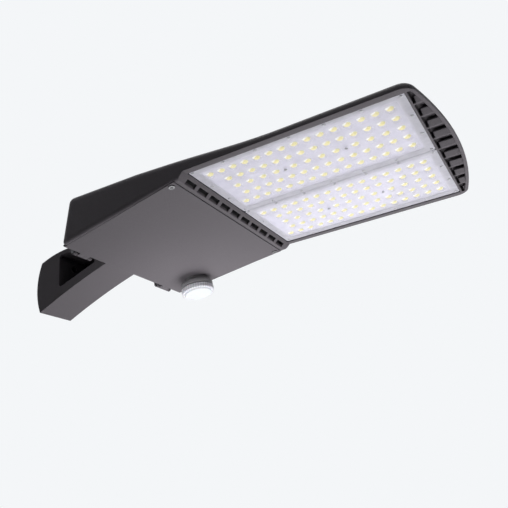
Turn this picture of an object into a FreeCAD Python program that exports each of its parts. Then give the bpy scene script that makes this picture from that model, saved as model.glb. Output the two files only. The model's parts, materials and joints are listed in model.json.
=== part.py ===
import FreeCAD, Part
import math
import os
import Sketcher

Vector = FreeCAD.Vector

# Driving dimensions, in millimetres and degrees.
SIZES = {
    # Pole end and arm
    "arm_width": 74.0,
    "arm_wall": 5.0,
    "arm_roof": 9.0,
    "end_top": 35.0,
    "end_low": -59.0,
    "end_bulge": 9.5,
    "arm_top": 48.5,
    "crown_x": 70.0,
    "arm_low_front": 0.5,
    "arm_low_radius": 1150.0,
    "web_x": 38.0,
    "web": 6.0,
    "pole_bolt_spacing": 44.0,
    "pole_bolt_hole": 11.0,
    "pole_boss": 22.0,
    "wire_hole": 16.0,
    "arm_flange": 8.0,
    "window_low": -21.0,
    "window_front": 122.0,
    "window_rise": 24.0,
    "window_round": 5.0,
    # Driver housing outline
    "rear_x": 170.0,
    "rear_z": -16.0,
    "rear_lean": 10.0,
    "rear_top": 62.5,
    "rear_half": 158.6,
    "waist_x": 400.0,
    "waist_blend": 30.0,
    "head_half": 168.0,
    "shoulder_x": 320.0,
    "shoulder_z": 56.6,
    "kink_x": 520.0,
    "kink_blend": 40.0,
    "head_top": 40.0,
    "lip_z": 26.6,
    "groove_x": 391.0,
    "door_tilt": 8.42,
    "step_bend": 60.0,
    "step_x": 397.5,
    "slope_x": 407.5,
    "top_round": 12.0,
    "low_round": 5.0,
    "roof_wall": 4.0,
    "rear_wall": 6.0,
    # Finned head and nose
    "nose_x": 749.4,
    "nose_radius": 620.0,
    "nose_corner": 20.0,
    "nose_rim": 5.0,
    "nose_roof": 4.5,
    "bay_half": 158.5,
    "bay_x": 720.0,
    "bay_count": 10.0,
    "fin": 3.0,
    "fin_top": 49.0,
    "fin_slope_x": 690.0,
    "fin_end_x": 728.0,
    "fin_end_z": 37.5,
    "louvre": 2.0,
    "louvre_slot": 18.9,
    "louvre_rise": 4.0,
    "louvre_slit": 3.5,
    "plate_top": 37.7,
    "vent_pitch": 30.8,
    "vent_length": 23.0,
    "vent_run": 6.0,
    "vent_wall": 3.5,
    "trench_x": 393.5,
    # Lens modules
    "panel_x": 408.8,
    "panel_length": 307.6,
    "panel_half": 156.6,
    "panel_gap": 0.4,
    "panel_round": 4.0,
    "lens_face": 28.2,
    "lens": 2.0,
    "board_seat": 34.1,
    "board": 1.6,
    "board_inset": 10.0,
    "led_x": 429.75,
    "led_pitch": 18.75,
    "row_pitch": 25.5,
    "row_y": 28.2,
    "led_square": 5.0,
    "led_height": 1.4,
    "dome": 11.0,
    "dome_height": 4.0,
    "dome_draft": 24.0,
    "screw": 3.0,
    "screw_head": 4.4,
    "screw_head_height": 1.6,
    "screw_grip": 2.4,
    "screw_inset": 5.0,
    "screw_columns": 7.0,
    "screw_rows": 4.0,
    "screw_play": 0.4,
    "thread_play": 0.1,
    "seal_inset": 0.5,
    "led_columns": 15.0,
    "short_columns": 14.0,
    "short_lead": 15.2,
    "groups": 3.0,
    "group_leds": 4.0,
    "group_pitch": 91.9,
    "group_led_pitch": 21.3,
    # Door
    "door": 4.0,
    "door_skin": 2.4,
    "door_rear_half": 150.6,
    "door_front_half": 165.0,
    "door_gap": 0.6,
    "groove": 1.6,
    "door_round": 3.0,
    "gasket": 2.0,
    "gasket_width": 3.5,
    "gasket_lip": 1.0,
    "ledge": 11.0,
    "ledge_front": 21.0,
    "ledge_rear": 7.5,
    "seal_gap": 0.3,
    "latch_inset": 9.0,
    "latch_edge": 8.0,
    "latch_play": 0.5,
    "latch_swing": 0.8,
    "latch_slot": 1.1,
    "latch": 5.0,
    "latch_head": 9.4,
    "latch_head_height": 2.6,
    "latch_length": 15.0,
    "latch_sink": 1.4,
    # Hinge
    "hinge_back": 5.0,
    "hinge_rise": 3.0,
    "hinge_y": 106.0,
    "knuckle": 22.0,
    "knuckle_radius": 4.0,
    "pin": 4.0,
    "pin_play": 0.05,
    "pin_head": 6.0,
    "pin_head_height": 1.6,
    "lug": 8.0,
    "lug_gap": 0.8,
    # Motion sensor
    "sensor_x": 225.5,
    "sensor_y": 128.0,
    "stem": 20.0,
    "stem_play": 0.3,
    "stem_length": 14.0,
    "sensor_seal": 1.0,
    "sensor_edge": 1.5,
    "collar": 44.0,
    "collar_height": 9.0,
    "ring": 59.4,
    "ring_height": 8.0,
    "cap_gap": 2.4,
    "cap_neck": 50.0,
    "cap": 60.0,
    "cap_height": 8.6,
    "flute_depth": 0.9,
    "flute_count": 40.0,
    "face": 50.0,
    "face_height": 2.4,
    "nut_flats": 25.0,
    "nut": 5.0,
    # Gear inside the housing
    "tray_x": 196.0,
    "tray_length": 154.0,
    "tray_half": 122.0,
    "tray": 2.0,
    "tray_z": 44.0,
    "tray_boss": 12.0,
    "tray_boss_inset": 12.0,
    "driver_x": 204.0,
    "driver_y": -104.0,
    "driver_width": 66.0,
    "driver_length": 200.0,
    "driver_height": 33.0,
    "foot": 9.0,
    "foot_thick": 3.0,
    "surge_x": 286.0,
    "surge_y": -104.0,
    "surge_size": 48.0,
    "surge_length": 66.0,
    "surge_height": 26.0,
    "block_x": 292.0,
    "block_y": 12.0,
    "block_width": 22.0,
    "block_length": 64.0,
    "block_height": 18.0,
    "block_ways": 3.0,
    "block_well": 6.0,
    # Arm joint
    "arm_gasket": 2.0,
    "arm_bolt": 8.0,
    "arm_bolt_play": 0.4,
    "arm_bolt_x": 10.0,
    "arm_bolt_y": 25.0,
    "arm_joint_z": 25.0,
    "bolt_head": 13.0,
    "bolt_head_height": 5.3,
    "washer": 16.0,
    "washer_thick": 1.6,
    "grommet_flange": 3.0,
    "grommet_bore": 10.0,
}


class Size:
    """A number together with the expression that ties it to the sheet."""

    def __init__(self, value, text):
        self.value = value
        self.text = text

    def __add__(self, other):
        other = as_size(other)
        return Size(self.value + other.value, f"({self.text} + {other.text})")

    def __sub__(self, other):
        other = as_size(other)
        return Size(self.value - other.value, f"({self.text} - {other.text})")

    def __mul__(self, other):
        other = as_size(other)
        return Size(self.value * other.value, f"({self.text} * {other.text})")

    def __truediv__(self, other):
        other = as_size(other)
        return Size(self.value / other.value, f"({self.text} / {other.text})")

    def __radd__(self, other):
        return as_size(other) + self

    def __rsub__(self, other):
        return as_size(other) - self

    def __rmul__(self, other):
        return as_size(other) * self

    def __neg__(self):
        return Size(-self.value, f"(0 - {self.text})")


def as_size(number):
    if isinstance(number, Size):
        return number
    return Size(float(number), f"({number})")


def root(size):
    return Size(math.sqrt(size.value), f"sqrt({size.text})")


def tangent(degrees):
    return Size(math.tan(math.radians(degrees.value)), f"tan({degrees.text} * 1 deg)")


def cosine(degrees):
    return Size(math.cos(math.radians(degrees.value)), f"cos({degrees.text} * 1 deg)")


def sine(degrees):
    return Size(math.sin(math.radians(degrees.value)), f"sin({degrees.text} * 1 deg)")


class Sheet:
    """The spreadsheet's cells, each read by its alias as a Size."""

    def __init__(self, document, sizes):
        self.sheet = document.addObject("Spreadsheet::Sheet", "Sizes")
        for row, (alias, value) in enumerate(sizes.items(), 1):
            self.sheet.set(f"A{row}", alias)
            self.sheet.set(f"B{row}", str(value))
            self.sheet.setAlias(f"B{row}", alias)
        document.recompute()

    def __getattr__(self, alias):
        return Size(float(self.sheet.get(alias)), f"Sizes.{alias}")


doc = FreeCAD.newDocument("area_light")
S = Sheet(doc, SIZES)
SUBPARTS = []


# Drawing helpers


def bind(item, **sizes):
    """Ties properties to expressions; a double underscore in a name stands for a dot."""
    for name, size in sizes.items():
        item.setExpression(name.replace("__", "."), as_size(size).text)


def place(item, x=0, y=0, z=0, turn=None):
    """Puts an item at bound coordinates, with a fixed turn."""
    spot = [as_size(value) for value in (x, y, z)]
    turn = turn or FreeCAD.Rotation()
    item.Placement = FreeCAD.Placement(Vector(*[value.value for value in spot]), turn)
    bind(item, Placement__Base__x=spot[0], Placement__Base__y=spot[1], Placement__Base__z=spot[2])


def keep(item, label):
    """Names a finished sub-part."""
    item.Label = label
    SUBPARTS.append(item)
    return item


def about_y(degrees):
    return FreeCAD.Rotation(Vector(0, 1, 0), degrees)


def arc_between(start, stop, radius):
    """The arc from start to stop: a positive radius turns left, a negative one turns right."""
    chord = stop - start
    half = chord.Length / 2
    side = 1 if radius > 0 else -1
    depth = math.sqrt(max(radius * radius - half * half, 0))
    left = Vector(-chord.y, chord.x, 0).normalize()
    centre = (start + stop) * 0.5 + left * (depth * side)
    ends = (start, stop) if side > 0 else (stop, start)
    angles = [math.atan2(end.y - centre.y, end.x - centre.x) for end in ends]
    circle = Part.Circle(centre, Vector(0, 0, 1), abs(radius))
    return Part.ArcOfCircle(circle, *angles), side > 0


def outline(sketch, corners):
    """Closes an outline through corners: (x, y), or (x, y, radius) where an arc ends there."""
    corners = [[as_size(value) for value in corner] for corner in corners]
    spots = [Vector(corner[0].value, corner[1].value, 0) for corner in corners]
    pieces = []
    for index, corner in enumerate(corners):
        start, stop = spots[index - 1], spots[index]
        if len(corner) == 2:
            piece = sketch.addGeometry(Part.LineSegment(start, stop), False)
            pieces.append((piece, 1, 2))
            continue
        arc, forward = arc_between(start, stop, corner[2].value)
        piece = sketch.addGeometry(arc, False)
        pieces.append((piece, 1, 2) if forward else (piece, 2, 1))
    for index, corner in enumerate(corners):
        piece, _, last = pieces[index]
        following, first, _ = pieces[(index + 1) % len(pieces)]
        sketch.addConstraint(Sketcher.Constraint("Coincident", piece, last, following, first))
        tie(sketch, "DistanceX", (-1, 1, piece, last), corner[0])
        tie(sketch, "DistanceY", (-1, 1, piece, last), corner[1])
        if len(corner) == 3:
            radius = corner[2] if corner[2].value > 0 else -corner[2]
            tie(sketch, "Radius", (piece,), radius)


def tie(sketch, kind, where, size):
    number = sketch.addConstraint(Sketcher.Constraint(kind, *where, size.value))
    sketch.setExpression(f"Constraints[{number}]", size.text)


def rounded_box(low_x, low_y, high_x, high_y, radius):
    """Corners of a box with round corners, for outline."""
    return [
        (high_x - radius, low_y), (high_x, low_y + radius, radius),
        (high_x, high_y - radius), (high_x - radius, high_y, radius),
        (low_x + radius, high_y), (low_x, high_y - radius, radius),
        (low_x, low_y + radius), (low_x + radius, low_y, radius),
    ]


def circle(sketch, x, y, diameter):
    x, y, diameter = as_size(x), as_size(y), as_size(diameter)
    ring = Part.Circle(Vector(x.value, y.value, 0), Vector(0, 0, 1), diameter.value / 2)
    piece = sketch.addGeometry(ring, False)
    tie(sketch, "DistanceX", (-1, 1, piece, 3), x)
    tie(sketch, "DistanceY", (-1, 1, piece, 3), y)
    tie(sketch, "Diameter", (piece,), diameter)


def plane(body, role):
    return next(item for item in body.Origin.OriginFeatures if item.Role == role)


def new_body(label):
    return doc.addObject("PartDesign::Body", label)


def body_sketch(body, name, role, offset=0):
    sketch = body.newObject("Sketcher::SketchObject", name)
    sketch.AttachmentSupport = [(plane(body, role), "")]
    sketch.MapMode = "FlatFace"
    bind(sketch, AttachmentOffset__Base__z=offset)
    return sketch


def pad(body, sketch, length, symmetric=False, reverse=False, draft=0):
    feature = body.newObject("PartDesign::Pad", sketch.Name + "_pad")
    feature.Profile = sketch
    feature.SideType = "Symmetric" if symmetric else "One side"
    feature.Reversed = reverse
    bind(feature, Length=length, TaperAngle=draft)
    doc.recompute()
    return feature


def pocket(body, sketch, length, symmetric=False, reverse=False):
    before = body.Shape.Volume
    feature = body.newObject("PartDesign::Pocket", sketch.Name + "_pocket")
    feature.Profile = sketch
    feature.SideType = "Symmetric" if symmetric else "One side"
    feature.Reversed = reverse
    bind(feature, Length=length)
    doc.recompute()
    if body.Shape.Volume >= before:
        raise RuntimeError(f"{sketch.Name} cuts nothing")
    return feature


def revolve(body, sketch):
    feature = body.newObject("PartDesign::Revolution", sketch.Name + "_turned")
    feature.Profile = sketch
    feature.ReferenceAxis = (sketch, ["V_Axis"])
    feature.Angle = 360
    doc.recompute()
    return feature


def round_edges(body, chosen, radius):
    """Fillets the body's edges for which chosen(edge) holds."""
    tip = body.Tip
    names = [f"Edge{n}" for n, edge in enumerate(tip.Shape.Edges, 1) if chosen(edge)]
    feature = body.newObject("PartDesign::Fillet", body.Name + "_round")
    feature.Base = (tip, names)
    bind(feature, Radius=radius)
    doc.recompute()
    return feature


def loose_sketch(name, x=0, y=0, z=0, turn=None):
    sketch = doc.addObject("Sketcher::SketchObject", name)
    place(sketch, x, y, z, turn)
    return sketch


def extrude(sketch, forward, backward=0):
    solid = doc.addObject("Part::Extrusion", sketch.Name + "_solid")
    solid.Base = sketch
    solid.DirMode = "Normal"
    solid.Solid = True
    bind(solid, LengthFwd=forward, LengthRev=backward)
    return solid


def box(name, low, high):
    solid = doc.addObject("Part::Box", name)
    spans = [as_size(top) - as_size(base) for base, top in zip(low, high)]
    bind(solid, Length=spans[0], Width=spans[1], Height=spans[2])
    place(solid, *low)
    return solid


def cylinder(name, diameter, height, x, y, z, turn=None):
    solid = doc.addObject("Part::Cylinder", name)
    bind(solid, Radius=diameter / 2, Height=height)
    place(solid, x, y, z, turn)
    return solid


def fuse(name, solids):
    result = doc.addObject("Part::MultiFuse", name)
    result.Shapes = solids
    result.Refine = True
    return result


def common(name, first, second):
    result = doc.addObject("Part::Common", name)
    result.Base = first
    result.Tool = second
    return result


def cut(name, base, tool):
    result = doc.addObject("Part::Cut", name)
    result.Base = base
    result.Tool = tool
    result.Refine = True
    return result


# Frames that several pieces share


def wall_x(z):
    """The rear wall's outer face at a height."""
    return S.rear_x + (z - S.rear_z) * tangent(S.rear_lean)


def door_height(x):
    """The door's outer face at a distance from the pole."""
    return S.rear_z + (x - S.rear_x) * tangent(S.door_tilt)


def step_height():
    """The strip in front of the door, where the underside has turned level."""
    return door_height(S.groove_x) + S.step_bend * (1 - cosine(S.door_tilt))


def roof_height(x):
    """The housing's top over the driver."""
    fall = (S.rear_top - S.shoulder_z) / (S.shoulder_x - wall_x(S.rear_top))
    return S.rear_top - (x - wall_x(S.rear_top)) * fall


def door_turn():
    return about_y(-S.door_tilt.value)


def on_door(along, rise):
    """A point given along the door from its rear edge, and above its outer face."""
    x = S.rear_x + along * cosine(S.door_tilt) - rise * sine(S.door_tilt)
    z = S.rear_z + along * sine(S.door_tilt) + rise * cosine(S.door_tilt)
    return x, z


def door_place(item, along=0, y=0, rise=0):
    x, z = on_door(as_size(along), as_size(rise))
    place(item, x, y, z, door_turn())


def on_wall(up, out):
    """A point given up the rear wall from the arm's centre, and out of its outer face."""
    lean = S.rear_lean
    x = wall_x(S.arm_joint_z) + up * sine(lean) - out * cosine(lean)
    z = S.arm_joint_z + up * cosine(lean) + out * sine(lean)
    return x, z


def wall_turn():
    return about_y(S.rear_lean.value - 90)


def wall_cylinder(name, diameter, height, up, y, out):
    x, z = on_wall(as_size(up), as_size(out))
    return cylinder(name, diameter, height, x, y, z, wall_turn())


door_length = (S.groove_x - S.rear_x) / cosine(S.door_tilt)
door_seat = S.door + S.gasket + S.seal_gap
nose_centre = S.nose_x - S.nose_radius
bay_pitch = S.bay_half * 2 / S.bay_count


def nose_edge(y, inset):
    """The nose arc's x at a distance from the middle, inset from the outside."""
    radius = S.nose_radius - inset
    return nose_centre + root(radius * radius - y * y)


# Housing casting


def housing_envelope():
    """The outer form: the side profile crossed with the plan outline, with round edges."""
    run = S.kink_x - S.shoulder_x
    rise = S.shoulder_z - S.head_top
    slant = root(run * run + rise * rise)
    swoop_end = (S.kink_x - S.kink_blend * run / slant, S.head_top + S.kink_blend * rise / slant)
    swoop_radius = S.kink_blend * (slant + run) / rise
    far = S.nose_x + S.nose_corner
    side = loose_sketch("housing_side", turn=FreeCAD.Rotation(Vector(1, 0, 0), 90))
    outline(side, [
        (S.rear_x, S.rear_z),
        (S.groove_x, door_height(S.groove_x)),
        (S.groove_x + S.step_bend * sine(S.door_tilt), step_height(), -S.step_bend),
        (far, step_height()),
        (far, S.head_top),
        (S.kink_x + S.kink_blend, S.head_top),
        (swoop_end[0], swoop_end[1], -swoop_radius),
        (S.shoulder_x, S.shoulder_z),
        (wall_x(S.rear_top), S.rear_top),
    ])
    plan = loose_sketch("housing_plan", z=S.end_low)
    outline(plan, plan_corners())
    form = common("housing_form", extrude(side, S.head_half * 2, S.head_half * 2),
                  extrude(plan, S.rear_top - S.end_low * 2))
    doc.recompute()
    upper = fillet("housing_upper", form, upper_edges(form.Shape), S.top_round)
    doc.recompute()
    return fillet("housing_rounded", upper, lower_edges(upper.Shape), S.low_round)


def plan_corners():
    taper = (S.head_half - S.rear_half) / (S.waist_x - S.rear_x)
    slant = root(taper * taper + 1)
    blend_radius = S.waist_blend * (slant + 1) / taper
    back = S.waist_x - S.waist_blend / slant
    back_half = S.head_half - S.waist_blend * taper / slant
    ahead = S.waist_x + S.waist_blend
    tail = S.rear_x - S.top_round
    tail_half = S.rear_half - S.top_round * taper
    reach = S.nose_radius - S.nose_corner
    offset = S.head_half - S.nose_corner
    corner_run = root(reach * reach - offset * offset)
    corner_x = nose_centre + corner_run
    tip_x = nose_centre + corner_run * S.nose_radius / reach
    tip_y = offset * S.nose_radius / reach
    return [
        (tail, -tail_half),
        (back, -back_half),
        (ahead, -S.head_half, blend_radius),
        (corner_x, -S.head_half),
        (tip_x, -tip_y, S.nose_corner),
        (tip_x, tip_y, S.nose_radius),
        (corner_x, S.head_half, S.nose_corner),
        (ahead, S.head_half),
        (back, back_half, blend_radius),
        (tail, tail_half),
    ]


def face_kinds(shape, edge):
    """What the two faces at an edge are: top, rear, door, below or side."""
    kinds = set()
    for face in shape.ancestorsOfType(edge, Part.Face):
        u0, u1, v0, v1 = face.ParameterRange
        normal = face.normalAt((u0 + u1) / 2, (v0 + v1) / 2)
        if normal.z > 0.8:
            kinds.add("top")
        elif normal.x < -0.8:
            kinds.add("rear")
        elif normal.z < -0.9 and normal.x > 0.05:
            kinds.add("door")
        elif normal.z < -0.5:
            kinds.add("below")
        elif abs(normal.z) < 0.05:
            kinds.add("side")
        else:
            kinds.add("round")
    return kinds


def upper_edges(shape):
    pairs = ({"top", "side"}, {"top", "rear"}, {"rear", "side"})
    return [n for n, edge in enumerate(shape.Edges, 1) if face_kinds(shape, edge) in pairs]


def lower_edges(shape):
    pairs = ({"door", "side"}, {"door", "rear"}, {"door", "round"}, {"below", "side"})
    return [n for n, edge in enumerate(shape.Edges, 1) if face_kinds(shape, edge) in pairs]


def fillet(name, base, numbers, radius):
    feature = doc.addObject("Part::Fillet", name)
    feature.Base = base
    feature.Edges = [(number, radius.value, radius.value) for number in numbers]
    return feature


def door_half(along):
    return S.door_rear_half + (S.door_front_half - S.door_rear_half) * along / door_length


def door_trapezoid(rear, front, inset):
    """A ring corner list on the door plane, drawn in from the door's sides."""
    return [
        (rear, -(door_half(rear) - inset)), (front, -(door_half(front) - inset)),
        (front, door_half(front) - inset), (rear, door_half(rear) - inset),
    ]


mouth_rear = S.ledge_rear
mouth_front = door_length - S.ledge_front


def driver_cavity():
    """The driver space: square to the door, under a roof of even thickness."""
    mouth = loose_sketch("cavity_mouth")
    door_place(mouth)
    outline(mouth, door_trapezoid(mouth_rear, mouth_front, S.ledge))
    roof = loose_sketch("cavity_roof", turn=FreeCAD.Rotation(Vector(1, 0, 0), 90))
    ceiling = S.rear_top - S.roof_wall
    outline(roof, [
        (wall_x(S.rear_z - S.arm_width) + S.rear_wall, S.rear_z - S.arm_width),
        (S.trench_x, S.rear_z - S.arm_width),
        (S.trench_x, S.head_top),
        (S.shoulder_x, S.shoulder_z - S.roof_wall),
        (wall_x(ceiling) + S.rear_wall, ceiling),
    ])
    return common("driver_cavity", extrude(mouth, S.arm_width * 2, S.arm_width),
                  extrude(roof, S.head_half, S.head_half))


def door_recess():
    """The shallow bed for the door, open to the rear."""
    bed = loose_sketch("door_bed")
    door_place(bed)
    gap = -S.door_gap
    back = -S.arm_width
    outline(bed, door_trapezoid(back, door_length, gap))
    return extrude(bed, door_seat, S.arm_width)


def head_underside():
    """What lies below the head, up the slope in front of the door."""
    below = S.rear_z * 2
    far = S.nose_x + S.nose_corner * 2
    under = loose_sketch("head_underside", turn=FreeCAD.Rotation(Vector(1, 0, 0), 90))
    outline(under, [
        (S.step_x, below), (far, below), (far, S.lip_z), (S.slope_x, S.lip_z), (S.step_x, step_height()),
    ])
    return extrude(under, S.head_half * 2, S.head_half * 2)


def panel_pocket():
    gap = S.panel_gap
    low = (S.panel_x - gap, -S.panel_half - gap, S.lip_z - S.arm_wall)
    high = (S.panel_x + S.panel_length + gap, S.panel_half + gap, S.board_seat)
    return box("panel_pocket", low, high)


def head_trench():
    """The open space over the module plate, and down behind the vent bar."""
    run = S.slope_x - S.step_x
    rise = S.lip_z - step_height()
    lift = S.vent_wall * root(run * run + rise * rise) / run
    wall_end = S.panel_x - S.vent_wall
    floor = step_height()
    trench = loose_sketch("head_trench", turn=FreeCAD.Rotation(Vector(1, 0, 0), 90))
    sky = S.rear_top + S.arm_wall
    outline(trench, [
        (S.trench_x, floor + lift),
        (S.step_x, floor + lift),
        (wall_end, floor + lift + (wall_end - S.step_x) * rise / run),
        (wall_end, S.plate_top),
        (S.bay_x + S.fin, S.plate_top),
        (S.bay_x + S.fin, sky),
        (S.trench_x, sky),
    ])
    return extrude(trench, S.bay_half, S.bay_half)


def nose_bays():
    """Rooms between the nose fins, open below, where a slanted louvre stays standing in each."""
    rooms = []
    roof = S.head_top - S.nose_roof
    upper = S.lip_z + S.louvre_rise
    start = S.bay_x + S.louvre_slit
    for number in range(int(S.bay_count.value)):
        near = bay_pitch * number - S.bay_half + S.fin / 2
        far = bay_pitch * (number + 1) - S.bay_half - S.fin / 2
        tip = near + S.louvre_slot
        room = loose_sketch(f"nose_room_{number + 1}", x=start, turn=FreeCAD.Rotation(Vector(1, 1, 1), 120))
        outline(room, [
            (near, S.rear_z), (far, S.rear_z), (far, S.lip_z), (tip, upper),
            (tip, upper + S.louvre), (far, S.lip_z + S.louvre), (far, roof), (near, roof),
        ])
        slit = box(f"nose_slit_{number + 1}", (S.bay_x, near, S.rear_z), (start, far, roof))
        rooms += [extrude(room, S.nose_x - start), slit]
    plan = loose_sketch("nose_plan", z=S.rear_z)
    edge = nose_edge(S.bay_half, S.nose_rim)
    outline(plan, [
        (S.bay_x, -S.bay_half), (edge, -S.bay_half),
        (edge, S.bay_half, S.nose_radius - S.nose_rim), (S.bay_x, S.bay_half),
    ])
    return common("nose_bays", fuse("nose_rooms", rooms), extrude(plan, roof - S.rear_z))


def vent_slots():
    slots = []
    count = int(S.bay_count.value)
    floor = door_height(S.groove_x) - S.arm_wall
    for number in range(count):
        middle = S.vent_pitch * (number - (count - 1) / 2)
        low = (S.step_x, middle - S.vent_length / 2, floor)
        high = (S.step_x + S.vent_run, middle + S.vent_length / 2, S.plate_top)
        slots.append(box(f"vent_slot_{number + 1}", low, high))
    return slots


def cooling_fins():
    """Blades from the driver space to the nose rim, cut to one side profile."""
    blades = []
    count = int(S.bay_count.value) - 1
    for number in range(count):
        middle = bay_pitch * (number - (count - 1) / 2)
        low = (S.groove_x, middle - S.fin / 2, S.lip_z)
        high = (nose_edge(middle, S.nose_rim / 2), middle + S.fin / 2, S.fin_top)
        blades.append(box(f"fin_blade_{number + 1}", low, high))
    root_z = S.plate_top - S.fin / 4
    behind = S.panel_x - S.vent_wall / 2
    profile = loose_sketch("fin_profile", turn=FreeCAD.Rotation(Vector(1, 0, 0), 90))
    outline(profile, [
        (S.trench_x - S.vent_wall / 2, S.board_seat),
        (behind, S.board_seat),
        (behind, root_z),
        (S.fin_end_x, root_z),
        (S.fin_end_x, S.fin_end_z),
        (S.fin_slope_x, S.fin_top),
        (S.trench_x - S.vent_wall / 2, S.fin_top),
    ])
    return common("cooling_fins", fuse("fin_blades", blades), extrude(profile, S.head_half, S.head_half))


def tray_bosses():
    """Posts from the roof down to the gear tray."""
    bosses = []
    for end, x in enumerate((S.tray_x + S.tray_boss_inset,
                             S.tray_x + S.tray_length - S.tray_boss_inset)):
        roof = roof_height(x) if end == 0 else front_roof_height(x)
        height = roof - S.roof_wall / 2 - S.tray_z - S.tray
        for side in (-1, 1):
            y = side * (S.tray_half - S.tray_boss_inset)
            bosses.append(cylinder(f"tray_boss_{len(bosses) + 1}", S.tray_boss, height,
                                   x, y, S.tray_z + S.tray))
    return bosses


def front_roof_height(x):
    fall = (S.shoulder_z - S.head_top) / (S.kink_x - S.shoulder_x)
    return S.shoulder_z - (x - S.shoulder_x) * fall


def hinge_lugs():
    """Two ears on each side of a door knuckle, carried by the rear wall."""
    lugs = []
    radius = S.knuckle_radius
    axis = (-S.hinge_back, S.hinge_rise)
    reach = door_seat + radius * 2
    for side in (-1, 1):
        for hand in (-1, 1):
            middle = side * S.hinge_y + hand * (S.knuckle / 2 + S.lug_gap + S.lug / 2)
            number = len(lugs) // 2 + 1
            ear = loose_sketch(f"lug_{number}")
            x, z = on_door(as_size(0), as_size(0))
            turn = door_turn().multiply(FreeCAD.Rotation(Vector(1, 0, 0), 90))
            place(ear, x, middle, z, turn)
            outline(ear, [
                (axis[0] - radius, axis[1]),
                (axis[0] + radius, axis[1]),
                (axis[0] + radius, door_seat),
                (S.rear_wall / 2, door_seat),
                (S.rear_wall, reach),
                (axis[0] - radius, reach - radius),
            ])
            eye = cylinder(f"lug_eye_{number}", radius * 2, S.lug, 0, 0, 0)
            hinge_cylinder(eye, middle - S.lug / 2)
            lugs += [extrude(ear, S.lug / 2, S.lug / 2), eye]
    return lugs


def hinge_cylinder(item, y):
    x, z = on_door(-S.hinge_back, S.hinge_rise)
    place(item, x, y, z, FreeCAD.Rotation(Vector(1, 0, 0), -90))


def hinge_bores():
    bores = []
    span = S.knuckle + (S.lug_gap + S.lug) * 2
    for side in (-1, 1):
        bore = cylinder(f"hinge_bore_{len(bores) + 1}", S.pin + S.pin_play, span, 0, 0, 0)
        hinge_cylinder(bore, side * S.hinge_y - span / 2)
        bores.append(bore)
    return bores


def edge_screw_spots():
    """Screws around the rim of the lens plate on the +Y side."""
    inset = S.screw_inset
    columns, rows = int(S.screw_columns.value), int(S.screw_rows.value)
    low, high = S.panel_gap + inset, S.panel_half - inset
    rear, front = S.panel_x + inset, S.panel_x + S.panel_length - inset
    pitch = (front - rear) / (columns - 1)
    rise = (high - low) / (rows - 1)
    spots = [(rear + pitch * number, y) for y in (low, high) for number in range(columns)]
    return spots + [(x, low + rise * number) for x in (rear, front) for number in range(1, rows - 1)]


def inner_screw_spots():
    """Screws between the LED groups of the middle row."""
    gap = S.group_pitch - S.group_led_pitch * (S.group_leds - 1)
    return [(start - gap / 2, row_height(2)) for start in group_starts()[:-1]]


def screw_spots():
    return edge_screw_spots() + inner_screw_spots()


def lens_screw_holes():
    holes = []
    for side in (-1, 1):
        for x, y in screw_spots():
            holes.append(cylinder(f"lens_hole_{len(holes) + 1}", S.screw, S.screw_grip,
                                  x, side * y, S.board_seat))
    return holes


def latch_holes():
    """Blind holes for the door's two front screws."""
    holes = []
    for along, y in latch_spots():
        hole = cylinder(f"latch_hole_{len(holes) + 1}", S.latch + S.latch_swing * 2, S.latch_length, 0, 0, 0)
        door_place(hole, along, y, door_seat - S.gasket)
        holes.append(hole)
    return holes


def arm_bolt_spots():
    return [(up * S.arm_bolt_x, side * S.arm_bolt_y) for up in (-1, 1) for side in (-1, 1)]


def arm_joint_holes(prefix, start, depth, bolt_diameter, wire_diameter):
    """Four bolt holes and the wire way, square to the rear wall."""
    holes = []
    for up, y in arm_bolt_spots():
        holes.append(wall_cylinder(f"{prefix}_bolt_{len(holes) + 1}", bolt_diameter, depth, up, y, start))
    holes.append(wall_cylinder(f"{prefix}_wire", wire_diameter, depth, 0, 0, start))
    return holes


def housing():
    hollow = fuse("housing_hollow", [head_underside(), driver_cavity(), door_recess(), panel_pocket(),
                                     head_trench(), nose_bays(), *vent_slots()])
    shell = cut("housing_shell", housing_envelope(), hollow)
    solid = fuse("housing_solid", [shell, cooling_fins(), *tray_bosses(), *hinge_lugs()])
    holes = [*hinge_bores(), *lens_screw_holes(), *latch_holes(), *tray_screw_holes(),
             *arm_joint_holes("rear_wall", -S.rear_wall * 2, S.rear_wall * 3,
                              S.arm_bolt + S.arm_bolt_play, S.wire_hole)]
    keep(cut("housing", solid, fuse("housing_holes", holes)), "housing")


def tray_screw_spots():
    ends = (S.tray_x + S.tray_boss_inset, S.tray_x + S.tray_length - S.tray_boss_inset)
    half = S.tray_half - S.tray_boss_inset
    return [(x, side * half) for x in ends for side in (-1, 1)]


def tray_screw_holes():
    holes = []
    for x, y in tray_screw_spots():
        holes.append(cylinder(f"tray_hole_{len(holes) + 1}", S.screw, S.screw_grip, x, y,
                              S.tray_z + S.tray))
    return holes


# Arm


def arm_profile(sketch, front):
    end_half = (S.end_top - S.end_low) / 2
    cheek = (end_half * end_half + S.end_bulge * S.end_bulge) / (S.end_bulge * 2)
    drop = S.arm_top - S.end_top
    crown = (S.crown_x * S.crown_x + drop * drop) / (drop * 2)
    outline(sketch, [
        (0, S.end_low, cheek),
        (wall_x(S.arm_low_front) - front, S.arm_low_front, -S.arm_low_radius),
        (wall_x(S.arm_top) - front, S.arm_top),
        (S.crown_x, S.arm_top),
        (0, S.end_top, crown),
    ])


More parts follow.
